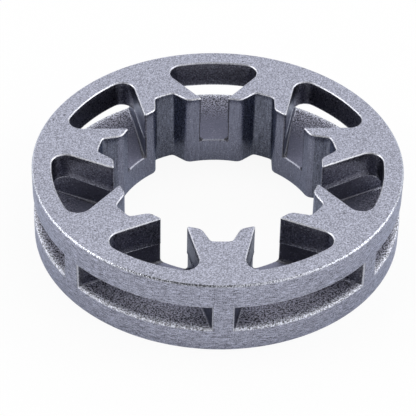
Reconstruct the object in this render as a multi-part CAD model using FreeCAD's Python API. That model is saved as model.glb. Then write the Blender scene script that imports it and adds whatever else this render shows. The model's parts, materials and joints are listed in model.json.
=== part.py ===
import FreeCAD, Part
import math
import os

# A chainsaw rim sprocket: one cast steel ring with two flanges and a row of pillars between them.
# The chain's drive links drop through the windows in the outer wall and are pushed by the pillars.
# The bore is splined and floats along a hub, and the pockets in the upper flange let sawdust out.
# The axis is Z, the closed lower flange stands on Z = 0, and one pillar points along -Y.

# Ring, in millimetres
tooth_count = 7
outer_diameter = 34.0
lower_flange = 2.55
upper_flange = 2.55
outer_edge_break = 0.15

# Splined bore, in millimetres and degrees; the fork between a groove and a pocket ends in a land
bore_diameter = 19.05
spline_root_diameter = 22.2
spline_root_width = 1.9
spline_flank_angle = 25.0
spline_root_radius = 0.3
fork_nose_radius = 0.5
fork_land = 1.35

# Pockets in the upper flange, each open to the bore through the mouth that two forks leave
pocket_side_angle = 38.7
pocket_corner_radius = 1.25
fork_tip_radius = 0.15
rim_wall = 1.8
face_edge_break = 0.1

# Chain slot between the flanges, tapered towards the bore as a mould's slides leave it
slot_height = 2.5
slot_roof_draft = 3.0
slot_relief = 0.1
slot_edge_break = 0.2
rib_width = 1.9

# Worked out from the sizes above
pitch_angle = 360.0 / tooth_count
outer_radius = outer_diameter / 2
bore_radius = bore_diameter / 2
root_radius = spline_root_diameter / 2
pocket_radius = outer_radius - rim_wall
slot_floor = lower_flange
slot_roof = slot_floor + slot_height
top = slot_roof + upper_flange

# How far a cut runs past the ring, and how close two lengths are to count as one
overshoot = upper_flange
closeness = 1e-6

# Directions
first_pillar = -90.0
first_pocket = first_pillar + pitch_angle / 2
half_turn = 180.0
full_turn = 360.0
origin = FreeCAD.Vector(0, 0, 0)
axis = FreeCAD.Vector(0, 0, 1)


def chord_distance(radius, half_width):
    """Distance from the centre at which a circle is as wide as two half widths."""
    return math.sqrt(radius ** 2 - half_width ** 2)


def mouth_half_width():
    """Half of a pocket's mouth: what the groove and the fork leave of half a pitch at the bore."""
    flank = math.radians(spline_flank_angle)
    root_half = spline_root_width / 2
    root = chord_distance(root_radius, root_half)
    flank_distance = root * math.sin(flank) + root_half * math.cos(flank)
    groove_angle = math.asin(flank_distance / bore_radius) - flank
    fork_angle = fork_land / bore_radius
    return bore_radius * math.sin(math.radians(pitch_angle / 2) - groove_angle - fork_angle)


def polygon_face(points):
    """Flat face inside a closed run of straight sides."""
    return Part.Face(Part.makePolygon(points + points[:1]))


def turned(profile, seam_angle):
    """Ring turned about Z from a profile of radii and heights, with its seam at the angle given."""
    section = polygon_face([FreeCAD.Vector(radius, 0, height) for radius, height in profile])
    ring = section.revolve(origin, axis, full_turn)
    ring.rotate(origin, axis, seam_angle)
    return ring


def around(shape, first_angle):
    """One copy of a shape drawn along +X for each tooth, the first turned to the angle given."""
    copies = []
    for tooth in range(tooth_count):
        copy = shape.copy()
        copy.rotate(origin, axis, first_angle + tooth * pitch_angle)
        copies.append(copy)
    return copies


def upright_edges(shape, radius, length):
    """Straight edges of one length that stand along Z at a radius from the axis."""
    found = []
    for edge in shape.Edges:
        start = edge.Vertexes[0].Point
        end = edge.Vertexes[-1].Point
        rise = abs(end.z - start.z)
        stands = abs(rise - length) < closeness and abs(edge.Length - length) < closeness
        if stands and abs(math.hypot(start.x, start.y) - radius) < closeness:
            found.append(edge)
    return found


def wedge(near, near_half, far, far_half, bottom, height):
    """Upright prism along +X whose half width changes evenly from its near end to its far end."""
    corners = [(near, -near_half), (far, -far_half), (far, far_half), (near, near_half)]
    plan = polygon_face([FreeCAD.Vector(x, y, bottom) for x, y in corners])
    return plan.extrude(axis * height)


def round_ended(prism, radius, corner_radius, bottom, height):
    """The prism ended by a cylinder about Z, with its two outer corners rounded."""
    ended = prism.common(Part.makeCylinder(radius, height, FreeCAD.Vector(0, 0, bottom)))
    return ended.makeFillet(corner_radius, upright_edges(ended, radius, height))


def spread_wedge(mouth_half, half_angle, bottom, height):
    """Prism that spreads outwards from a mouth at the bore to past the outer wall."""
    slope = math.tan(math.radians(half_angle))
    mouth = chord_distance(bore_radius, mouth_half)
    near = mouth - mouth_half / slope / 2
    far = outer_radius + overshoot
    return wedge(near, mouth_half / 2, far, mouth_half + (far - mouth) * slope, bottom, height)


def ring_blank():
    """The ring before its cuts: a plain bore, and an outer wall with broken edges."""
    edge = outer_edge_break
    profile = [
        (bore_radius, 0),
        (outer_radius - edge, 0),
        (outer_radius, edge),
        (outer_radius, top - edge),
        (outer_radius - edge, top),
        (bore_radius, top),
    ]
    return turned(profile, first_pillar)


def pocket():
    """One chip pocket: straight sides, rounded corners and an outer side concentric with the ring."""
    height = top + overshoot - slot_floor
    prism = spread_wedge(mouth_half_width(), pocket_side_angle, slot_floor, height)
    return round_ended(prism, pocket_radius, pocket_corner_radius, slot_floor, height)


def spline_groove():
    """One groove of the splined bore, narrowing outwards to its floor on the root circle."""
    slope = math.tan(math.radians(spline_flank_angle))
    root_half = spline_root_width / 2
    root = chord_distance(root_radius, root_half)
    near = bore_radius / 2
    far = root + root_half / slope / 2
    height = top + 2 * overshoot
    prism = wedge(near, root_half + (root - near) * slope, far, root_half / 2, -overshoot, height)
    return round_ended(prism, root_radius, spline_root_radius, -overshoot, height)


def chain_window():
    """One chain window: the slot's turned section between the flanks of two neighbouring pillars."""
    near = bore_radius - overshoot
    far = outer_radius + overshoot
    drop = math.tan(math.radians(slot_roof_draft))
    profile = [
        (near, slot_floor),
        (outer_radius - slot_edge_break, slot_floor),
        (outer_radius, slot_floor - slot_edge_break),
        (far, slot_floor - slot_edge_break),
        (far, slot_roof + (far - outer_radius) * drop),
        (near, slot_roof - (outer_radius - near) * drop),
    ]
    mouth_half = mouth_half_width() + slot_relief
    mouth = chord_distance(bore_radius, mouth_half)
    rib_angle = math.radians(pitch_angle / 2) - math.asin(rib_width / 2 / outer_radius)
    rise = outer_radius * math.sin(rib_angle) - mouth_half
    run = outer_radius * math.cos(rib_angle) - mouth
    prism = spread_wedge(mouth_half, math.degrees(math.atan2(rise, run)), 0, top)
    return prism.common(turned(profile, half_turn))


def inner_edges(shape, height):
    """Edges inside the ring's wall that lie flat at one height: the rims of the bore and the pockets."""
    reach = outer_radius - rim_wall / 2
    found = []
    for edge in shape.Edges:
        ends = edge.Vertexes
        flat = all(abs(end.Z - height) < closeness for end in ends)
        if flat and all(math.hypot(end.X, end.Y) < reach for end in ends):
            found.append(edge)
    return found


def rim_sprocket():
    """The whole sprocket: the blank, its pockets, grooves and windows, and its eased edges."""
    body = ring_blank()
    body = body.cut(around(pocket(), first_pocket))
    body = body.makeFillet(fork_tip_radius, upright_edges(body, bore_radius, top - slot_floor))
    body = body.cut(around(spline_groove(), first_pillar))
    body = body.makeFillet(fork_nose_radius, upright_edges(body, bore_radius, top))
    body = body.cut(around(chain_window(), first_pocket))
    return body.makeChamfer(face_edge_break, inner_edges(body, top) + inner_edges(body, 0))


os.makedirs("parts", exist_ok=True)
rim_sprocket().exportStep("parts/rim_sprocket.step")
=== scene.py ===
# %% [markdown]
# A chainsaw rim sprocket, dressed for its portrait. The real one is a single steel casting about as wide
# as a large coin: two flanges, seven pillars between them, and a splined bore. Saw chain rides on its
# outer wall and dips through the windows between the pillars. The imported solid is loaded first, because
# everything below takes its place and its size from it.

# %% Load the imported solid
import json

import bmesh
import bpy
import numpy as np
from mathutils import Matrix, Vector


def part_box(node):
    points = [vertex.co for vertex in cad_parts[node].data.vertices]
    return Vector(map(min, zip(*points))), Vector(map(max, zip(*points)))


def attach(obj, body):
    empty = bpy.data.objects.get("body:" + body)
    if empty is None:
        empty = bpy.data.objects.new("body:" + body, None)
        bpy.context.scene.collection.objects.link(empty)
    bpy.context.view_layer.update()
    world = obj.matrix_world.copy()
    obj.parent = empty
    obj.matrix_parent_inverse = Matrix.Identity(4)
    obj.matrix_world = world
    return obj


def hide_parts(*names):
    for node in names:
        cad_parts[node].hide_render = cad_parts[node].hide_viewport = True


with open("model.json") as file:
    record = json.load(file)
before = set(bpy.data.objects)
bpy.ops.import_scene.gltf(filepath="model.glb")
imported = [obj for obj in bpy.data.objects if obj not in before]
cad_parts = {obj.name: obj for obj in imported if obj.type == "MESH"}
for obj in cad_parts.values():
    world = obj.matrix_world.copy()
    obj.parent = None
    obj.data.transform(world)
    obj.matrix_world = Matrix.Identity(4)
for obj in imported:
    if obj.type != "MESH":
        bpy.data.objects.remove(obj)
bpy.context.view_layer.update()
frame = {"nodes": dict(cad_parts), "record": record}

print("solids:", sorted(frame["nodes"]))

# %% [markdown]
# Sizes. The outer wall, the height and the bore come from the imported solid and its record. The rest are
# the sizes of the casting's own features, in millimetres turned into metres, as a drawing would list them.
# Angles are in degrees on a drawing and in radians in the formulas, so each is turned once, here.

# %% Sizes from the frame and the drawing
mm = 0.001
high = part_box("rim_sprocket")[1]
bore_mount = next(mount for mount in frame["record"]["mounts"] if mount["name"] == "splined_bore")
outer_radius = float(high.x)
top = float(high.z)
bore_radius = bore_mount["dims"]["r_mm"] * mm

tooth_count = 7
half_pitch = np.pi / tooth_count
flange = 2.55 * mm
root_radius = 11.1 * mm
root_half_width = 0.95 * mm
flank_slant = np.radians(25.0)
root_round = 0.42 * mm
nose_round = 0.9 * mm
fork_land = 1.35 * mm
pocket_slant = np.radians(38.7)
pocket_radius = outer_radius - 1.8 * mm
pocket_round = 1.25 * mm
tip_round = 0.15 * mm
roof_draft = np.tan(np.radians(3.0))
flank_relief = 0.1 * mm
rib_half_width = 0.95 * mm
slot_floor = flange
slot_roof = top - flange
print("outer radius %.2f mm, height %.2f mm" % (outer_radius / mm, top / mm))

# %% [markdown]
# Edges. A casting has no sharp edge: blasting and tumbling leave each one with a small radius, and that
# radius is what catches the light. A Bevel modifier could round them, but it would treat every edge alike.
# Here each kind of edge has its own radius, and the surfaces below are worked out with the rounding
# already in them.

# %% Radii of the edges
outer_edge = 0.17 * mm
rim_edge = 0.12 * mm
under_edge = 0.1 * mm
gap_edge = 0.18 * mm
sill_edge = 0.25 * mm
window_edge = 0.07 * mm
rib_edge = 0.16 * mm
edge_flatness = 1.6

round_count = 5
outer_count = 8
quarter = np.linspace(0, np.pi / 2, round_count + 1)
outer_quarter = np.linspace(0, np.pi / 2, outer_count + 1)
print("each rounded edge has", round_count, "strips")

# %% [markdown]
# Outlines in plan. Half a pitch is drawn once, from the middle line of a pillar (along X) to the middle
# line of a pocket, and the whole ring is made from fourteen such halves. Each stretch of an outline is an
# arc or a straight line, and carries its facing: the direction that points out of the steel. Where a
# rounding touches a line and a circle, its centre follows from two distances: how far it is from the axis,
# and how far along the line's normal.

# %% Arcs, lines and the outline they make
def compass(angle):
    """Unit vectors in plan: the cosine and the sine of each angle."""
    return np.stack([np.cos(angle), np.sin(angle)], axis=-1)


def arc(reach, centre_turn, radius, start, end, share, hollow=False):
    """Points at a radius about a centre, which lies at a reach and a turn from the axis, from start to end
    at a number of even shares, or at the shares given. The facing points away from the centre, or towards
    it where the steel is outside the circle."""
    share = np.linspace(0, 1, share + 1) if np.isscalar(share) else share
    direction = compass(start + share * (end - start))
    points = reach * compass(centre_turn) + radius * direction
    return points, -direction if hollow else direction


def straight(start, end, facing_turn, count):
    """Points at even shares of the way from start to end, all with one facing."""
    share = np.linspace(0, 1, count + 1)[:, None]
    return start + share * (end - start), np.tile(compass(facing_turn), (count + 1, 1))


def joined(*stretches):
    """Stretches laid end to end. Each drops its first point, which is the last of the one before."""
    kept = [stretch if i == 0 else (stretch[0][1:], stretch[1][1:]) for i, stretch in enumerate(stretches)]
    return tuple(np.concatenate(arrays) for arrays in zip(*kept))


def touch_turn(normal_turn, offset, reach):
    """Angle of the point that is a reach from the axis and an offset along a line's normal: the normal's
    own angle less the arc cosine of offset over reach."""
    return normal_turn - np.arccos(offset / reach)


print("outline helpers ready, for half a pitch of %.1f degrees" % np.degrees(half_pitch))

# %% [markdown]
# The pillar's inner end. A groove of the spline is cut into each pillar, with flanks that open towards the
# bore, so the pillar ends in a fork. The outline goes along the groove's floor, round its corner, down the
# flank, round the nose of the fork and along the land, the short arc on the bore's circle.

# %% Groove, nose and land
root_count = 4
nose_count = 8
land_count = 4

groove_normal = np.pi / 2 - flank_slant
root_reach = np.sqrt(root_radius ** 2 - root_half_width ** 2)
groove_offset = root_reach * np.sin(flank_slant) + root_half_width * np.cos(flank_slant)
root_turn = touch_turn(groove_normal, groove_offset - root_round, root_radius - root_round)
nose_turn = touch_turn(groove_normal, groove_offset + nose_round, bore_radius + nose_round)
mouth_turn = touch_turn(groove_normal, groove_offset, bore_radius) + fork_land / bore_radius

side_turn = half_pitch - pocket_slant
side_normal = side_turn + np.pi / 2
side_offset = bore_radius * np.cos(side_normal - mouth_turn)
tip_turn = touch_turn(side_normal, side_offset - tip_round, bore_radius + tip_round)
pocket_turn = touch_turn(side_normal, side_offset + pocket_round, pocket_radius - pocket_round)

root_corner = arc(
    root_radius - root_round, root_turn, root_round, root_turn, groove_normal, root_count, hollow=True
)
nose = arc(
    bore_radius + nose_round, nose_turn, nose_round, groove_normal + np.pi, nose_turn + np.pi, nose_count
)
pillar_outline = joined(
    arc(0, 0, root_radius, 0, root_turn, root_count, hollow=True),
    root_corner,
    straight(root_corner[0][-1], nose[0][0], groove_normal + np.pi, root_count),
    nose,
    arc(0, 0, bore_radius, nose_turn, tip_turn, land_count, hollow=True),
)
print("pillar outline:", len(pillar_outline[0]), "points")

# %% [markdown]
# The pocket. In the upper flange each pocket is a window for sawdust: it starts at a fork's tip, runs out
# along a straight side, turns through a wide corner and follows the rim. The number of points on the tip
# and the side is the number of rows that the flank below needs, so that the two surfaces can meet point
# for point.

# %% Tip, side, corner and rim of a pocket
flank_count = 12
corner_count = 12
rim_count = 8
column_count = corner_count + rim_count
column_gather = 2.0
column_share = np.linspace(0, 1, column_count + 1) ** column_gather

tip = arc(bore_radius + tip_round, tip_turn, tip_round, tip_turn + np.pi, side_normal, round_count)
corner = arc(
    pocket_radius - pocket_round,
    pocket_turn,
    pocket_round,
    side_normal + np.pi,
    pocket_turn + 2 * np.pi,
    corner_count,
    hollow=True,
)
pocket_outline = joined(
    tip,
    straight(tip[0][-1], corner[0][0], side_normal, flank_count + 1 + outer_count),
    corner,
    arc(0, 0, pocket_radius, pocket_turn, half_pitch, rim_count, hollow=True),
)
print("pocket outline:", len(pocket_outline[0]), "points")

# %% [markdown]
# The flank. Between the flanges each pillar's side is the face that pushes the chain. It runs straight
# from the fork's heel to the rib in the outer wall, and both its ends are rounded. It is written as an
# angle for each radius, because the floor and the roof of the slot then end on it at the same radii.

# %% Flank as an angle for each radius
mouth_half_width = bore_radius * np.sin(half_pitch - mouth_turn)
flank_start = bore_radius * compass(half_pitch - np.arcsin((mouth_half_width + flank_relief) / bore_radius))
flank_end = outer_radius * compass(np.arcsin(rib_half_width / outer_radius))
flank_normal = np.arctan2(*(flank_end - flank_start)[::-1]) + np.pi / 2
flank_offset = flank_start @ compass(flank_normal)

heel_lean = np.cos(flank_normal - tip_turn)
heel_round = (flank_offset - bore_radius * heel_lean) / (1 + heel_lean)
heel_reach = bore_radius + heel_round
rib_reach = outer_radius - rib_edge
rib_turn = touch_turn(flank_normal, flank_offset - rib_edge, rib_reach)


def round_turn(radius, reach, turn, rounding):
    """Angle at which a circle about the axis meets a rounding, by the cosine rule on the axis, the
    rounding's centre and the meeting point."""
    cosine = (radius ** 2 + reach ** 2 - rounding ** 2) / (2 * radius * reach)
    return turn + np.arccos(np.clip(cosine, -1, 1))


def flank_turn(radius):
    """Angle of the flank at each radius: on the heel's rounding, on the straight, or on the rib's
    rounding."""
    straight_start = np.linalg.norm(heel_reach * compass(tip_turn) + heel_round * compass(flank_normal))
    straight_end = np.linalg.norm(rib_reach * compass(rib_turn) + rib_edge * compass(flank_normal))
    return np.where(
        radius < straight_start,
        round_turn(radius, heel_reach, tip_turn, heel_round),
        np.where(
            radius > straight_end,
            round_turn(radius, rib_reach, rib_turn, rib_edge),
            touch_turn(flank_normal, flank_offset, radius),
        ),
    )


print("heel radius %.3f mm, rib half angle %.2f degrees" % (heel_round / mm, np.degrees(rib_turn)))

# %% [markdown]
# Heights. The slot's floor is the flat top of the lower flange, and drops over a rounded edge at the bore
# and at the outer wall. The roof slopes a little towards the bore, as the slides of a mould need. Both are
# written as a height for each radius, with the rounding subtracted: a quarter circle has lost its whole
# radius at its edge.

# %% Floor and roof as heights for each radius
tiny = 1e-9


def fall(distance, radius):
    """Height lost at a distance from a rounded edge: the radius times one less the root of one less the
    square of the share of the radius that is left."""
    share = np.clip(1 - distance / np.maximum(radius, tiny), 0, 1)
    return radius * (1 - np.sqrt(1 - share ** 2))


def bend(distance, radius):
    """How far round a rounded edge a point is: nothing on the two faces, one half way round."""
    share = np.clip(1 - distance / radius, 0, 1)
    return 2 * share * np.sqrt(1 - share ** 2)


def floor_height(radius):
    """The slot's floor, less what the edges at the bore and at the outer wall have lost."""
    return slot_floor - fall(radius - bore_radius, gap_edge) - fall(outer_radius - radius, sill_edge)


def roof_height(radius):
    """The slot's roof: the height at the outer wall less the draft, plus what the window's edge has
    lost."""
    inwards = outer_radius - radius
    return slot_roof - inwards * roof_draft + fall(inwards, window_edge)


print("slot height %.2f mm at the wall" % ((roof_height(outer_radius) - floor_height(outer_radius)) / mm))

# %% [markdown]
# Fillets. A mould leaves no sharp inner corner, so the flank meets the floor and the roof in fillets. They
# are small along its length, wide at the heel, and nothing at both ends, where three surfaces meet in a
# point. A Bevel modifier would need a weight on every edge for that, so a width is worked out for each
# radius instead. The share of flash along the flank's foot is found in the same way.

# %% Fillets along the flank
corner_fillet = 0.1 * mm
heel_fillet = 0.6 * mm
heel_fading = 3
flash_from = 0.62
flash_to = 0.78

flank_radius = np.concatenate([
    bore_radius + gap_edge * (1 - np.cos(quarter)),
    np.linspace(bore_radius + gap_edge, outer_radius - rib_edge, flank_count + 2)[1:-1],
    outer_radius - rib_edge * (1 - np.sin(outer_quarter)),
])
outwards = (flank_radius - bore_radius) / (outer_radius - bore_radius)
end_fade = np.sqrt(np.sin(np.linspace(0, np.pi, len(flank_radius))))
head_fillet = corner_fillet * end_fade
heel_share = (1 - outwards) ** heel_fading
foot_fillet = (corner_fillet + (heel_fillet - corner_fillet) * heel_share) * end_fade
flank_head = flank_turn(flank_radius) + head_fillet / flank_radius
flank_foot = flank_turn(flank_radius) + foot_fillet / flank_radius
flash_fade = np.clip((outwards - flash_from) / (flash_to - flash_from), 0, 1) * end_fade
print("fillets from %.2f to %.2f mm" % (corner_fillet / mm, heel_fillet / mm))

# %% [markdown]
# Profiles. A wall is a profile carried along an outline. The profile is a list of heights, each with an
# inset into the steel, so a wall can start and end in a quarter round. It also carries the bend, which
# later tells the finish where an edge is worn and where it gets a painted highlight. Short profiles are
# stacked into tall ones, which keeps each of them easy to read.

# %% Profiles from the foot of a wall to its head
def rise(start, end, count):
    """Profile that climbs straight in even steps."""
    height = np.linspace(start, end, count + 1)
    return np.zeros(count + 1), height, np.zeros(count + 1)


def round_in(start, radius, flatness=1.0):
    """Profile of a rounded edge that leaves a flat face below and ends upright. A flatness of one is a
    quarter circle, and two is a straight chamfer: the sine and the cosine are raised to it."""
    inset = radius * (1 - np.sin(quarter) ** flatness)
    return inset, start + radius * (1 - np.cos(quarter) ** flatness), np.sin(2 * quarter)


def round_out(end, radius, flatness=1.0):
    """Profile of a rounded edge that starts upright and ends on a flat face above."""
    inset = radius * (1 - np.cos(quarter) ** flatness)
    return inset, end - radius * (1 - np.sin(quarter) ** flatness), np.sin(2 * quarter)


def stacked(*profiles):
    """Profiles laid one on the other. Each drops its first row, which is the last of the one below."""
    kept = [p if i == 0 else tuple(rows[1:] for rows in p) for i, p in enumerate(profiles)]
    return tuple(np.concatenate(rows) for rows in zip(*kept))


print("a rounded edge has a profile of", len(round_in(0, rim_edge)[0]), "rows")

# %% [markdown]
# Walls. On the real casting every upright face follows one of the outlines above. A curve with a bevel
# profile could sweep it, but its points would be hard to match with those of the next face. A grid worked
# out here has known rows and columns, so its neighbours can share them.

# %% Walls swept from outlines and profiles
def marked(plan, *columns):
    """Grid of points with numbers after the plan: height, wear with painted highlight, and depth, each
    spread over the whole grid."""
    shape = plan.shape[:2]
    layers = [np.broadcast_to(column, shape)[..., None] for column in columns]
    return np.concatenate([plan, *layers], axis=2)


def wall(outline, profile):
    """Grid of rows by columns: each outline point, moved against its facing by a row's inset, at the row's
    height. Its marks are the profile's bend, for wear and a painted highlight, and no depth, because
    blasting reaches all of it."""
    points, facing = outline
    inset, height, bent = profile
    plan = points[None] - inset[:, None, None] * facing[None]
    return marked(plan, height[:, None], bent[:, None], 0)


low_count = 3
slot_count = 16
high_count = 4
slot_share = (1 - np.cos(np.linspace(0, np.pi, slot_count + 1))) / 2


def slot_rise(radius):
    """Profile from the slot's floor to its roof at one radius, with rows closer near both ends."""
    start, end = floor_height(radius), roof_height(radius)
    none = np.zeros(slot_count + 1)
    return none, start + slot_share * (end - start), none


print("wall helpers ready,", slot_count, "strips in the slot's height")

# %% [markdown]
# The bore. Two walls make it: the pillars' inner ends go the full height, and below each pocket the bore's
# circle stops at the slot's floor. Their rows have the same heights where they meet, so they close without
# a gap. A pillar's end is kept as two grids, its groove and its land, because their finishes differ.

# %% Bore walls and their rims
gap_outline = arc(0, 0, bore_radius, tip_turn, half_pitch, column_share, hollow=True)
bore_foot = stacked(round_in(0, under_edge), rise(under_edge, floor_height(bore_radius), low_count))
bore_height = stacked(
    bore_foot,
    slot_rise(bore_radius),
    rise(roof_height(bore_radius), top - rim_edge, high_count),
)
pillar_wall = wall(pillar_outline, bore_height)
nose_start = len(pillar_outline[0]) - 1 - nose_count - land_count
groove_wall = pillar_wall[:, :nose_start + 1]
land_wall = pillar_wall[:, nose_start:]
pillar_rim = wall(pillar_outline, round_out(top, rim_edge, edge_flatness))
gap_wall = wall(gap_outline, bore_foot)
print("bore:", pillar_wall.shape[:2], "and", gap_wall.shape[:2], "points")

# %% [markdown]
# The slot. Its floor, flanks and roof are functions of two parameters. The floor is a radius and a share
# of the way from the flank to the pocket's middle line. The flank is a radius and a share of the slot's
# height, bulging a little at the floor and the roof where a mould leaves a fillet, more at the heel. A
# line of flash runs along its foot, where the two halves of the mould met.

# %% Floor and flank of the slot
flash_height = 0.065 * mm
flash_width = 0.05 * mm
flash_offset = 0.06 * mm
# These weights brighten the flash line and the rib's rounded corner: partly wear, partly painted highlight.
flash_wear_and_sheen = 1.95
rib_wear_and_sheen = 1.6


def slot_floor_grid():
    """Radius by share: the angle goes from the flank's foot to the pocket's middle line, at the floor's
    height. A line of flash is a bell curve of the distance from the foot, less what it has at the foot, so
    that the seam there stays closed. It fades out towards both ends."""
    turn = flank_foot[:, None] + column_share * (half_pitch - flank_foot[:, None])
    radius = flank_radius[:, None] * np.ones_like(turn)
    away = (turn - flank_foot[:, None]) * radius
    bell = np.exp(-((away - flash_offset) / flash_width) ** 2)
    flash = np.maximum(bell - bell[:, :1], 0) * flash_fade[:, None]
    bent = bend(radius - bore_radius, gap_edge)
    height = floor_height(radius) + flash_height * flash
    # The flash line is marked for wear and a painted highlight, so it shows as a bright line along the
    # flank's foot.
    wear_and_sheen = np.maximum(bent, flash_wear_and_sheen * flash)
    return marked(radius[..., None] * compass(turn), height, wear_and_sheen, outer_radius - radius)


def flank_grid():
    """Radius by share of height: the flank's angle, plus a fillet's width over the radius near the floor
    and the roof. Wear and a painted highlight follow the bend of the rib's rounded corner."""
    radius = flank_radius[:, None] * np.ones(slot_count + 1)
    start, end = floor_height(radius), roof_height(radius)
    height = start + slot_share * (end - start)
    bulge = fall(height - start, foot_fillet[:, None]) + fall(end - height, head_fillet[:, None])
    turn = flank_turn(radius) + bulge / radius
    wear_and_sheen = rib_wear_and_sheen * bend(outer_radius - radius, rib_edge)
    return marked(radius[..., None] * compass(turn), height, wear_and_sheen, outer_radius - radius)


floor_face = slot_floor_grid()
flank_face = flank_grid()
print("slot floor", floor_face.shape[:2], "flank", flank_face.shape[:2])

# %% [markdown]
# The pocket's wall. Where the mould's core for a pocket met the slide for the slot, the lower lip kept a
# thin ridge of flash, and its bright line is a painted highlight, partly wear. The wall is swept up from
# that lip. Near the fork's tip the lip fades out, because there the wall ends on the bore.

# %% Pocket wall
lip_edge = 0.06 * mm
lip_flash = 0.04 * mm
# Weight of the lip's bright line: a painted highlight on the ridge of flash.
lip_wear_and_sheen = 1.6
lip_fading = 2 * round_count

lip_fade = np.clip(np.arange(len(pocket_outline[0])) / lip_fading, 0, 1)
lip_round = lip_edge * lip_fade
lip_plan = pocket_outline[0] - lip_round[:, None] * pocket_outline[1]
lip_height = roof_height(np.linalg.norm(lip_plan, axis=1))


def pocket_wall_grid():
    """Rows by outline points: a quarter round from the roof's edge, pushed into the pocket by the ridge of
    flash, then even steps up to the rim. All of it counts as being as deep as the rim is thick."""
    points, facing = pocket_outline
    inset = lip_round * (1 - np.sin(quarter))[:, None]
    lip = lip_height + lip_round * (1 - np.cos(quarter))[:, None]
    share = np.linspace(0, 1, high_count + 1)[:, None]
    climb = lip[-1] + lip_round + share * (top - rim_edge - lip[-1] - lip_round)
    ridge = lip_flash * lip_fade * np.sin(quarter)[:, None] ** 2
    inset = np.concatenate([inset - ridge, np.zeros_like(climb)])
    height = np.concatenate([lip, climb])
    # The lip's mark paints a highlight along the ridge of flash.
    wear_and_sheen = np.concatenate([lip_wear_and_sheen * np.sin(quarter)[:, None] * lip_fade, np.zeros_like(climb)])
    plan = points[None] - inset[..., None] * facing[None]
    return marked(plan, height, wear_and_sheen, outer_radius - pocket_radius)


pocket_wall = pocket_wall_grid()
pocket_rim = wall(pocket_outline, round_out(top, rim_edge, edge_flatness))
print("pocket wall", pocket_wall.shape[:2], "rim", pocket_rim.shape[:2])

# %% [markdown]
# The slot's roof is the underside of the upper flange, which the chain's drive links pass below. It is
# ruled from the pocket's lip outwards, to the flank and to the window's edge. A ruled surface suits it,
# because the two curves that it spans have the same number of points.

# %% Roof of the slot
edge_limit = 0.5


def roof_grid():
    """Shares of the straight way from the lip to the flank's head or to the window's edge, at the roof's
    height. The last rows are spaced by a sine, so that they follow the window's rounded edge."""
    window_turn = rib_turn + column_share[1:] * (half_pitch - rib_turn)
    rail = np.concatenate([
        flank_radius[:, None] * compass(flank_head),
        outer_radius * compass(window_turn),
    ])
    way = rail - lip_plan
    length = np.maximum(np.linalg.norm(way, axis=1), tiny)
    edge_share = np.minimum(window_edge / length, edge_limit)
    open_share = np.linspace(0, 1, high_count + 1)[:-1, None] * (1 - edge_share)
    share = np.concatenate([open_share, 1 - edge_share * (1 - np.sin(quarter))[:, None]])
    plan = lip_plan + share[..., None] * way
    radius = np.minimum(np.linalg.norm(plan, axis=2), outer_radius)
    bent = bend(outer_radius - radius, window_edge)
    return marked(plan, roof_height(radius), bent, outer_radius - radius)


roof_face = roof_grid()
print("roof", roof_face.shape[:2])

# %% [markdown]
# The outer wall. It is turned true after casting, so it is a plain cylinder with rounded edges. It is
# three walls: a rib that goes the full height, and the bands above and below each window.

# %% Outer wall
rib_count = 3
rib_outline = arc(0, 0, outer_radius, 0, rib_turn, rib_count)
band_outline = arc(0, 0, outer_radius, rib_turn, half_pitch, column_share)
outer_foot = stacked(
    round_in(0, outer_edge, edge_flatness),
    rise(outer_edge, floor_height(outer_radius), low_count),
)
outer_head = rise(roof_height(outer_radius), top - outer_edge, low_count)
rib_wall = wall(rib_outline, stacked(outer_foot, slot_rise(outer_radius), outer_head))
lower_band = wall(band_outline, outer_foot)
upper_band = wall(band_outline, outer_head)
outer_top = round_out(top, outer_edge, edge_flatness)
rib_rim = wall(rib_outline, outer_top)
band_rim = wall(band_outline, outer_top)
print("outer wall:", rib_wall.shape[:2], lower_band.shape[:2], upper_band.shape[:2])

# %% [markdown]
# Patches. Each grid is one patch of the casting's skin, and each has the finish that its place on the real
# part has had: blasted, turned, rubbed, cast or broached. A list of pairs keeps shape and finish together,
# so a patch can change its finish in one place.

# %% Patches and their finishes
finishes = [
    "blasted_steel",
    "turned_steel",
    "rubbed_and_sheen_steel",
    "slot_steel",
    "pocket_steel",
    "groove_steel",
    "bore_steel",
]
patches = [
    (pillar_rim, "blasted_steel"),
    (pocket_rim, "blasted_steel"),
    # The outer rims' light edge tone is partly wear, partly a painted highlight.
    (rib_rim, "rubbed_and_sheen_steel"),
    (band_rim, "rubbed_and_sheen_steel"),
    (rib_wall, "turned_steel"),
    (lower_band, "turned_steel"),
    (upper_band, "turned_steel"),
    (floor_face, "slot_steel"),
    (flank_face, "pocket_steel"),
    (pocket_wall, "pocket_steel"),
    (roof_face, "slot_steel"),
    (groove_wall, "groove_steel"),
    (land_wall, "bore_steel"),
    (gap_wall, "bore_steel"),
]
print(len(patches), "patches in", len(finishes), "finishes")

# %% [markdown]
# Half a pitch of skin. A grid gives four-sided faces between neighbouring points. The flat top and the
# underside need no grid: one many-sided face closes each, along the last rows of the walls around it. All
# points go into one list, and each patch remembers where its own begin.

# %% Faces of half a pitch
def grid_faces(rows, columns, first):
    """Four corners of every cell: a point, the next in its row, and the two above them."""
    index = first + np.arange(rows * columns).reshape(rows, columns)
    corners = [index[:-1, :-1], index[:-1, 1:], index[1:, 1:], index[1:, :-1]]
    return np.stack(corners, axis=-1).reshape(-1, len(corners))


cap_top = np.concatenate([pillar_rim[-1], pocket_rim[-1][1:], band_rim[-1][::-1], rib_rim[-1][-2::-1]])
cap_under = np.concatenate([pillar_wall[0], gap_wall[0][1:], lower_band[0][::-1], rib_wall[0][-2::-1]])

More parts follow.
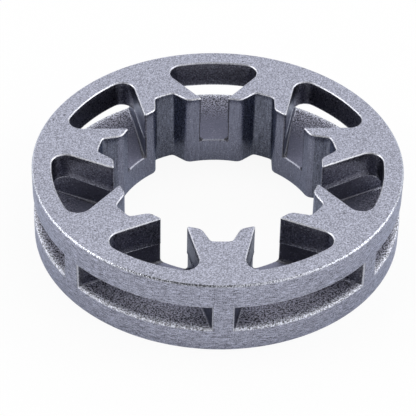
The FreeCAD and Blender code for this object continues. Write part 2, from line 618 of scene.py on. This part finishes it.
half_points = np.concatenate([
    *(grid.reshape(-1, grid.shape[2]) for grid, _ in patches), cap_top, cap_under
])
firsts = np.cumsum([0] + [grid.shape[0] * grid.shape[1] for grid, _ in patches])
half_quads = np.concatenate([
    grid_faces(*grid.shape[:2], first) for (grid, _), first in zip(patches, firsts)
])
half_slots = np.concatenate([
    np.full((grid.shape[0] - 1) * (grid.shape[1] - 1), finishes.index(finish)) for grid, finish in patches
])
top_loop = firsts[-1] + np.arange(len(cap_top))
under_loop = top_loop[-1] + 1 + np.arange(len(cap_under))
print("half a pitch:", len(half_points), "points,", len(half_quads), "four-sided faces")

# %% [markdown]
# The whole ring. The half pitch is mirrored across its pillar, and both halves are turned seven times.
# Array and mirror modifiers would do the same, but matrices keep every point in one list, with its marks
# beside it. The marks become attributes of the mesh, for the finishes to read.

# %% Fourteen halves around the axis
first_pillar = -np.pi / 2


def ring_points():
    """Every half turned to its place: mirrored across its pillar or not, then turned by a whole number of
    pitches."""
    turn = first_pillar + 2 * half_pitch * np.arange(tooth_count)
    rotate = np.stack([compass(turn), compass(turn + np.pi / 2)], axis=-1)
    sides = half_points[None, :, :2] * np.array([[1, 1], [1, -1]])[:, None]
    plan = np.einsum("kij,snj->skni", rotate, sides)
    marks = half_points[:, 2:]
    rest = np.broadcast_to(marks, plan.shape[:2] + marks.shape)
    return np.concatenate([plan, rest], axis=-1).reshape(-1, half_points.shape[1])


def ring_faces(faces):
    """The faces of every half, with the order of the corners reversed in the mirrored ones."""
    step = len(half_points) * np.arange(tooth_count)
    plain = faces[None] + step[:, None, None]
    mirrored = plain[..., ::-1] + len(half_points) * tooth_count
    return np.concatenate([plain, mirrored]).reshape(-1, faces.shape[1])


points = ring_points()
quads = ring_faces(half_quads)
caps = [ring_faces(loop[None]) for loop in (top_loop, under_loop)]
cap_slots = np.full(sum(len(cap) for cap in caps), finishes.index("blasted_steel"))
slots = np.concatenate([np.tile(half_slots, 2 * tooth_count), cap_slots])

mesh = bpy.data.meshes.new("sprocket_casting")
cap_faces = [face for cap in caps for face in cap.tolist()]
mesh.from_pydata(points[:, :3].tolist(), [], quads.tolist() + cap_faces)
mesh.polygons.foreach_set("material_index", slots.astype(np.int32))
# The bend mark drives both wear and painted highlights in the finishes.
for mark, column in (("wear_and_sheen_edge", points[:, 3]), ("slot_depth", points[:, 4] / mm)):
    mesh.attributes.new(mark, "FLOAT", "POINT").data.foreach_set("value", column.astype(np.float32))
print("ring:", len(points), "points,", len(mesh.polygons), "faces before merging")

# %% [markdown]
# One closed skin. Points of neighbouring grids lie in one place, so merging them closes every seam, as the
# real casting has none. The faces are then turned outwards and shaded smoothly but for true corners. The
# skin takes the imported solid's place: it rides on the same frame, and the solid is hidden.

# %% Merge the seams and turn every face outwards
merge_distance = 0.001 * mm
sliver_size = 0.0005 * mm
sharp_angle = np.radians(50)

skin = bmesh.new()
skin.from_mesh(mesh)
bmesh.ops.remove_doubles(skin, verts=skin.verts, dist=merge_distance)
bmesh.ops.dissolve_degenerate(skin, edges=skin.edges, dist=sliver_size)
bmesh.ops.recalc_face_normals(skin, faces=skin.faces)
open_edges = sum(not edge.is_manifold for edge in skin.edges)
volume = skin.calc_volume()
skin.to_mesh(mesh)
skin.free()
mesh.shade_smooth()
mesh.set_sharp_from_angle(angle=sharp_angle)

casting = bpy.data.objects.new("sprocket_casting", mesh)
bpy.context.scene.collection.objects.link(casting)
even_shading = casting.modifiers.new("even_shading", "WEIGHTED_NORMAL")
even_shading.keep_sharp = True
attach(casting, "root")
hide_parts("rim_sprocket")
print("skin: %d faces, %d open edges, %.1f cubic mm" % (len(mesh.polygons), open_edges, volume / mm ** 3))

# %% [markdown]
# Finishes. The whole casting is one steel, but each process left its own skin on it: the flat faces were
# blasted with grit, the outer wall was turned, its edges were rubbed in handling and carry a painted
# highlight, the slot and the pockets are as they left the mould and darker with painted shade, and the
# bore was broached. Pictures could carry all that, but they would need unwrapping. Noise at the true size
# of the grain never repeats and needs none. These helpers make the number-valued nodes, and keep the
# recipes below short.

# %% Helpers for nodes that carry numbers
def add_node(tree, kind, links=(), **settings):
    """New node with its settings, and one link for each pair of input name and socket."""
    node = tree.nodes.new(kind)
    for name, value in settings.items():
        setattr(node, name, value)
    for name, socket in links:
        tree.links.new(socket, node.inputs[name])
    return node


def noise(tree, place, size, detail):
    """Noise whose lumps are about a size across."""
    node = add_node(tree, "ShaderNodeTexNoise", [("Vector", place)])
    node.inputs["Scale"].default_value = 1 / size
    node.inputs["Detail"].default_value = detail
    return node.outputs["Fac"]


def spread(tree, value, start, end, low, high):
    """Value carried evenly from the range start to end to the range low to high, and held at both ends."""
    node = add_node(tree, "ShaderNodeMapRange", [("Value", value)])
    limits = {"From Min": start, "From Max": end, "To Min": low, "To Max": high}
    for name, limit in limits.items():
        node.inputs[name].default_value = limit
    return node.outputs["Result"]


def combine(tree, operation, first, second):
    """Sum, product or other simple operation on two sockets, or on a socket and a number."""
    node = add_node(tree, "ShaderNodeMath", operation=operation)
    for socket, value in zip(node.inputs, (first, second)):
        if isinstance(value, (int, float)):
            socket.default_value = value
        else:
            tree.links.new(value, socket)
    return node.outputs["Value"]


print("helpers for numbers ready")

# %% [markdown]
# Colours of steel differ from grain to grain, lighter on a flat and darker in a hollow. A colour ramp turns
# the noise into such tones, and a mix node lays one finish over another. Mixing two whole shaders would do
# too, but it costs more and hides which value changed.

# %% Helpers for nodes that carry colours
middle = 0.5
ramp_reach = 0.15


def blend(tree, share, first, second):
    """First colour where the share is nought and the second where it is one. The second may be a plain
    colour."""
    node = add_node(tree, "ShaderNodeMix", data_type="RGBA")
    sockets = {socket.name: socket for socket in node.inputs if socket.enabled}
    tree.links.new(share, sockets["Factor"])
    tree.links.new(first, sockets["A"])
    if isinstance(second, tuple):
        sockets["B"].default_value = (*second, 1)
    else:
        tree.links.new(second, sockets["B"])
    return next(socket for socket in node.outputs if socket.enabled)


def tones(tree, value, tone, contrast):
    """Colour ramp about a tone: darker by the contrast where the value is low, lighter by it where it is
    high."""
    node = add_node(tree, "ShaderNodeValToRGB", [("Fac", value)])
    stops = node.color_ramp.elements
    stops.new(middle)
    for stop, side in zip(stops, (-1, 0, 1)):
        stop.position = middle + side * ramp_reach
        stop.color = (*(part * (1 + side * contrast) for part in tone), 1)
    return node.outputs["Color"]


print("helpers for colours ready")

# %% [markdown]
# Grain and tool marks. A blasted or cast skin is sand: small lumps, as wide as they are long. A cutting
# tool draws them out along its way. Both come from one kind of noise, because squeezing its coordinates
# along one direction stretches its lumps in that direction.

# %% Grain and tool marks
sand_detail = 2
sand_low = 0.3
sand_high = 0.7
along_wall = (0.15, 0.15, 1.6)
along_bore = (1, 1, 0.15)


def skin_grain(tree, place, grain, squeeze):
    """Sand is noise at the grain's size. The skin's height is that sand, or the mean of it and of the same
    noise squeezed into streaks."""
    sand = noise(tree, place, grain, sand_detail)
    if squeeze is None:
        return sand, sand
    squeezed = add_node(tree, "ShaderNodeMapping", [("Vector", place)])
    squeezed.inputs["Scale"].default_value = squeeze
    marks = noise(tree, squeezed.outputs["Vector"], grain, sand_detail)
    return sand, combine(tree, "MULTIPLY", combine(tree, "ADD", sand, marks), 1 / 2)


def sand_swing(tree, sand, low, high):
    """The sand's usual range carried to the range low to high."""
    return spread(tree, sand, sand_low, sand_high, low, high)


print("marks on the wall are", round(along_wall[2] / along_wall[0]), "times as long as high")

# %% [markdown]
# Inside the slot the skin changes with depth. Near the sill the floor's lighter, sparkling tone is painted
# light where light comes in through the window, and the flank's darker tone there is painted shade.
# Behind it the cast sand shows plainly, and near the bore it is smooth. The depth is the attribute that
# the skin carries, in millimetres from the outer wall, so the zones follow every window alike.

# %% Zones of the slot
# Reach of the sill's tone: painted light on the slot's floor, painted shade on the flank.
sill_reach = 0.65
sill_ragged = 0.15
smooth_from = 1.4
smooth_to = 4.6
smooth_share = 0.16
inner_from = 1.5
inner_to = 5.0


def slot_skin(tree, sand, height, tone, contrast, sill, inner):
    """Height and colour by depth. The height's swing about its middle shrinks to a small share where the
    skin is smooth. The colour goes from the tone to the inner tone, and at a ragged line to the sill's
    tone, which is painted light on the slot's floor and painted shade on the flank."""
    depth = add_node(tree, "ShaderNodeAttribute", attribute_name="slot_depth").outputs["Fac"]
    swing = combine(tree, "SUBTRACT", height, middle)
    rough_share = spread(tree, depth, smooth_from, smooth_to, 1.0, smooth_share)
    height = combine(tree, "ADD", combine(tree, "MULTIPLY", swing, rough_share), middle)
    deep = spread(tree, depth, inner_from, inner_to, 0.0, 1.0)
    colour = blend(tree, deep, tones(tree, height, tone, contrast), tones(tree, height, inner, contrast))
    ragged = combine(tree, "ADD", depth, sand_swing(tree, sand, sill_ragged, -sill_ragged))
    opened = spread(tree, ragged, sill_ragged, sill_reach, 1.0, 0.0)
    return height, blend(tree, opened, colour, tones(tree, height, *sill))


print("the sill's light zone is", sill_reach, "mm deep")

# %% [markdown]
# Pits. A casting has a few gas pits that blasting opens, dark specks about twice the size of the grain.
# Voronoi cells scatter points evenly but not in rows. A cell keeps its point only if its random colour
# passes a limit.

# %% Pits
pit_size = 0.2 * mm
pit_gap = 1.0 * mm
pit_limit = 0.7
pit_core = 0.7
pit_brim = 1.2
pit_tone = (0.05, 0.05, 0.06)
pit_share = 0.75
pit_depth = 0.5


def pitted(tree, place, height, colour):
    """Height less a pit's depth and colour blended into the pit's tone, within a pit's size of each point
    kept."""
    cells = add_node(tree, "ShaderNodeTexVoronoi", [("Vector", place)])
    cells.inputs["Scale"].default_value = 1 / pit_gap
    draw = add_node(tree, "ShaderNodeSeparateColor", [("Color", cells.outputs["Color"])]).outputs["Red"]
    kept = combine(tree, "GREATER_THAN", draw, pit_limit)
    radius = pit_size / pit_gap / 2
    near = spread(tree, cells.outputs["Distance"], pit_core * radius, pit_brim * radius, 1.0, 0.0)
    pit = combine(tree, "MULTIPLY", near, kept)
    height = combine(tree, "SUBTRACT", height, combine(tree, "MULTIPLY", pit, pit_depth))
    return height, blend(tree, combine(tree, "MULTIPLY", pit, pit_share), colour, pit_tone)


print("pits of %.1f mm, one at most in each %.1f mm" % (pit_size / mm, pit_gap / mm))

# %% [markdown]
# Wear. Handling rubs the edges bright, and it rubs the high grains first, so the bright line is ragged.
# The skin's bend says where an edge is. The sand is added to it before the limit, which breaks the line up
# at grain size, and a wide cloud of noise makes some stretches brighter than others.

# %% Rubbed edges and painted highlights
# Light tone of worn edges, which also serves as a painted highlight on the rounded edges.
wear_and_sheen_tone = (0.64, 0.66, 0.74)
wear_and_sheen_ragged = 0.45
wear_and_sheen_from = 0.25
wear_and_sheen_to = 0.85
worn_smoothing = 0.1
cloud_size = 3.0 * mm
cloud_detail = 3
cloud_low = 0.45


def wear_and_sheen_share(tree, place, sand):
    """Share of wear and painted highlight: the bend plus the sand's swing, taken from a lower to an upper
    limit, times the cloud."""
    bend_mark = add_node(tree, "ShaderNodeAttribute", attribute_name="wear_and_sheen_edge").outputs["Fac"]
    ragged = combine(tree, "ADD", bend_mark, sand_swing(tree, sand, -wear_and_sheen_ragged, wear_and_sheen_ragged))
    wear_and_sheen = spread(tree, ragged, wear_and_sheen_from, wear_and_sheen_to, 0.0, 1.0)
    cloud = sand_swing(tree, noise(tree, place, cloud_size, cloud_detail), cloud_low, 1.0)
    return combine(tree, "MULTIPLY", wear_and_sheen, cloud)


print("wear helper ready")

# %% [markdown]
# One recipe for every steel. It puts the parts above together: grain, zones with painted light and
# shade, pits, and wear with painted highlights give a colour, a roughness and a height, and the height
# becomes bump. A flat grey with one roughness would look like plastic. The steel's own colour is its
# reflection, so it is fully metallic and the tones are rather light.

# %% Recipe for a steel skin
roughness_swing = 0.08
edge_tint = (0.84, 0.89, 1.0, 1)


def steel(
    name, tone, grain, contrast, depth, roughness,
    squeeze=None, sill=None, inner=None, pits=False, wear_and_sheen=wear_and_sheen_tone,
):
    """Steel with a tone and grain of one size. The tone varies by the contrast, the bumps have a depth,
    and the roughness swings a little with the sand. Where the steel is worn or has a painted highlight it
    takes the light edge tone and is smoother."""
    material = bpy.data.materials.new(name)
    material.use_nodes = True
    tree = material.node_tree
    place = add_node(tree, "ShaderNodeTexCoord").outputs["Object"]
    sand, height = skin_grain(tree, place, grain, squeeze)
    if sill:
        height, colour = slot_skin(tree, sand, height, tone, contrast, sill, inner)
    else:
        colour = tones(tree, height, tone, contrast)
    if pits:
        height, colour = pitted(tree, place, height, colour)
    # Share of wear and painted highlight, which takes the light edge tone.
    sheen_wear_share = wear_and_sheen_share(tree, place, sand)
    rough = sand_swing(tree, sand, roughness - roughness_swing, roughness + roughness_swing)
    rough = combine(tree, "SUBTRACT", rough, combine(tree, "MULTIPLY", sheen_wear_share, worn_smoothing))
    bump = add_node(tree, "ShaderNodeBump", [("Height", height)])
    bump.inputs["Strength"].default_value = 1.0
    bump.inputs["Distance"].default_value = depth

    shader = tree.nodes["Principled BSDF"]
    shader.inputs["Metallic"].default_value = 1.0
    shader.inputs["Specular Tint"].default_value = edge_tint
    tree.links.new(blend(tree, sheen_wear_share, colour, wear_and_sheen), shader.inputs["Base Color"])
    tree.links.new(rough, shader.inputs["Roughness"])
    tree.links.new(bump.outputs["Normal"], shader.inputs["Normal"])
    return material


print("recipe ready")

# %% [markdown]
# The seven skins. Their tones were matched to the photograph one region at a time, with the lamps left
# alone. The blasted faces are light and a little blue, and their rims carry the brightest painted
# highlight, with some wear. The darker tones of the slot, the pockets, the grooves and the bore are
# painted shade for those hollows; the grooves are darker than the lands beside them for the same reason.

# %% Seven skins on the casting
recipes = {
    "blasted_steel": {
        "tone": (0.40, 0.41, 0.49), "grain": 0.12 * mm, "contrast": 0.45,
        # The rims' light edge tone is mostly a painted highlight.
        "depth": 0.022 * mm, "roughness": 0.5, "pits": True, "wear_and_sheen": (0.82, 0.83, 0.88),
    },
    "turned_steel": {
        # A little darker than the top: partly painted shade on the wall.
        "tone": (0.33, 0.34, 0.42), "grain": 0.09 * mm, "contrast": 0.85,
        "depth": 0.01 * mm, "roughness": 0.45, "squeeze": along_wall,
    },
    "rubbed_and_sheen_steel": {
        "tone": (0.36, 0.37, 0.43), "grain": 0.15 * mm, "contrast": 0.7,
        "depth": 0.06 * mm, "roughness": 0.3,
    },
    "slot_steel": {
        # The slot's dark tone is partly painted shade under the upper flange.
        "tone": (0.262, 0.262, 0.317), "grain": 0.14 * mm, "contrast": 1.0,
        "depth": 0.055 * mm, "roughness": 0.6,
        # The sill tone is painted light where the window lets light onto the floor.
        "sill": ((0.57, 0.58, 0.645), 0.75), "inner": (0.275, 0.28, 0.37),
    },
    "pocket_steel": {
        # The pocket's dark tone is painted shade in the pockets.
        "tone": (0.157, 0.159, 0.2), "grain": 0.15 * mm, "contrast": 0.5,
        "depth": 0.035 * mm, "roughness": 0.34,
        # The sill and inner tones darken the flank near the rib and at the heel: painted shade.
        "sill": ((0.12, 0.12, 0.14), 0.4), "inner": (0.125, 0.125, 0.145),
    },
    "groove_steel": {
        # Darker than the lands: painted shade in the grooves.
        "tone": (0.158, 0.17, 0.222), "grain": 0.14 * mm, "contrast": 0.45,
        "depth": 0.012 * mm, "roughness": 0.3, "squeeze": along_bore,
    },
    "bore_steel": {
        # Darker than the blasted top: partly painted shade inside the bore.
        "tone": (0.213, 0.224, 0.296), "grain": 0.14 * mm, "contrast": 0.25,
        "depth": 0.012 * mm, "roughness": 0.3, "squeeze": along_bore,
    },
}
for finish in finishes:
    mesh.materials.append(steel(finish, **recipes[finish]))
print("finishes:", ", ".join(finishes))

# %% [markdown]
# The floor. The photograph is a plain catalogue picture on white paper. A large flat sheet does for every
# view, and a curved backdrop would show as a wall from the sides. It lies a hair below the casting, so
# that the two flat faces don't fight over the same pixels.

# %% Paper sheet
paper_reach = 3.0
paper_drop = 0.02 * mm
corners = paper_reach * np.array([[-1, -1, 0], [1, -1, 0], [1, 1, 0], [-1, 1, 0]]) - [0, 0, paper_drop]
floor_mesh = bpy.data.meshes.new("floor")
floor_mesh.from_pydata(corners.tolist(), [], [(0, 1, 2, 3)])
floor = bpy.data.objects.new("floor", floor_mesh)
bpy.context.scene.collection.objects.link(floor)
print("paper sheet of %.0f by %.0f m" % (2 * paper_reach, 2 * paper_reach))

# %% [markdown]
# The paper's finish. It is matt white, so it takes the casting's soft shadow. Part of what the camera sees
# of it is a plain white glow, which lifts the paper to white with no more light on the steel, and
# reflections see some of that glow too. From below, and where a ray starts right on it, the sheet is
# clear, so the underside can be seen.

# %% White paper
paper_white = (0.95, 0.95, 0.95, 1)
paper_glow = 0.92
paper_shine = 0.2
paper = bpy.data.materials.new("white_paper")
paper.use_nodes = True
sheet = paper.node_tree
matt = sheet.nodes["Principled BSDF"]
matt.inputs["Base Color"].default_value = paper_white
matt.inputs["Roughness"].default_value = 1.0
matt.inputs["Specular IOR Level"].default_value = 0.0

rays = add_node(sheet, "ShaderNodeLightPath").outputs
reflected = combine(sheet, "MAXIMUM", rays["Is Glossy Ray"], rays["Is Transmission Ray"])
glow_share = combine(
    sheet,
    "MAXIMUM",
    combine(sheet, "MULTIPLY", rays["Is Camera Ray"], paper_glow),
    combine(sheet, "MULTIPLY", reflected, paper_shine),
)
below = add_node(sheet, "ShaderNodeNewGeometry").outputs["Backfacing"]
starts_here = combine(sheet, "LESS_THAN", rays["Ray Length"], 2 * paper_drop)
clear_share = combine(sheet, "MAXIMUM", below, starts_here)

glow = add_node(sheet, "ShaderNodeEmission").outputs["Emission"]
clear = add_node(sheet, "ShaderNodeBsdfTransparent").outputs["BSDF"]
lit = add_node(sheet, "ShaderNodeMixShader", [(0, glow_share), (1, matt.outputs["BSDF"]), (2, glow)])
seen = add_node(sheet, "ShaderNodeMixShader", [(0, clear_share), (1, lit.outputs["Shader"]), (2, clear)])
sheet.links.new(seen.outputs["Shader"], sheet.nodes["Material Output"].inputs["Surface"])
floor_mesh.materials.append(paper)
print("paper finish ready")

# %% [markdown]
# Lamps. Two round softboxes stand left and right, a little behind the casting. They draw the bright lines
# along its edges, and they are weak, because the room gives most of the light.

# %% Two softboxes
lamp_size = 0.25
lamp_power = 0.6
lamp_places = {"left_light": (-0.5, 0.05, 0.3), "right_light": (0.5, 0.05, 0.3)}


def softbox(name, place):
    """Round lamp that faces the middle of the object."""
    lamp = bpy.data.lights.new(name, "AREA")
    lamp.shape = "DISK"
    lamp.size = lamp_size
    lamp.energy = lamp_power
    holder = bpy.data.objects.new(name, lamp)
    holder.location = place
    holder.rotation_euler = (-Vector(place)).to_track_quat("-Z", "Y").to_euler()
    bpy.context.scene.collection.objects.link(holder)


for name, place in lamp_places.items():
    softbox(name, place)
print("lamps:", ", ".join(lamp_places))

# %% [markdown]
# The room. The real part stood in a light tent, white all round but for the opening that the lens looks
# through. The front edge of the steel reflects that opening, which is why it shows as a dark line in the
# photograph. A dot product of each direction with the opening's own gives the cosine of the angle between
# them.

# %% Light tent
room_white = (1, 1, 1, 1)
room_level = 1.05
opening_level = 0.03
opening_turn = np.radians(-112)
opening_height = np.radians(49)
opening_angle = np.radians(24)
opening_fade = np.radians(37)

world = bpy.data.worlds.new("room")
world.use_nodes = True
room = world.node_tree
opening = (*(np.cos(opening_height) * compass(opening_turn)), np.sin(opening_height))
direction = add_node(room, "ShaderNodeTexCoord").outputs["Generated"]
towards = add_node(room, "ShaderNodeVectorMath", [(0, direction)], operation="DOT_PRODUCT")
towards.inputs[1].default_value = opening
cosine = towards.outputs["Value"]
level = spread(room, cosine, np.cos(opening_fade), np.cos(opening_angle), room_level, opening_level)
room.links.new(level, room.nodes["Background"].inputs["Strength"])
room.nodes["Background"].inputs["Color"].default_value = room_white
bpy.context.scene.world = world
print("the tent's opening is about", round(np.degrees(opening_angle + opening_fade)), "degrees across")

# %% [markdown]
# The camera. It stands about 185 mm away and looks down at forty degrees, with a long lens. The numbers
# were found from the outlines of the object in the photograph: a turn about the axis, a height angle, a
# small roll, and where the foot of the axis falls in the picture. Three turns and a shift place it, with
# nothing left to aim.

# %% Camera
view_lens = 170.67
view_turn = np.radians(2.398)
view_height = np.radians(40.198)
view_roll = np.radians(1.2329)
view_distance = 185.36 * mm
view_right = 0.777 * mm
view_down = 1.490 * mm


def rotation(angle):
    """Turn about the third axis."""
    return np.array([[np.cos(angle), -np.sin(angle), 0], [np.sin(angle), np.cos(angle), 0], [0, 0, 1]])


tilt = np.array([
    [1, 0, 0],
    [0, -np.sin(view_height), -np.cos(view_height)],
    [0, np.cos(view_height), -np.sin(view_height)],
])
right, down, forward = rotation(view_roll) @ tilt @ rotation(view_turn)
stand = -(view_right * right + view_down * down + view_distance * forward)

camera = bpy.data.cameras.new("camera")
camera.lens = view_lens
camera.clip_start = mm
eye = bpy.data.objects.new("camera", camera)
bpy.context.scene.collection.objects.link(eye)
eye.matrix_world = Matrix(np.column_stack([right, -down, -forward, stand]).tolist()).to_4x4()
bpy.context.scene.camera = eye
print("camera at", [round(value / mm) for value in stand], "mm")

# %% [markdown]
# The end. Colours are shown as they are written.

# %% Finish
bpy.context.scene.view_settings.view_transform = "Standard"
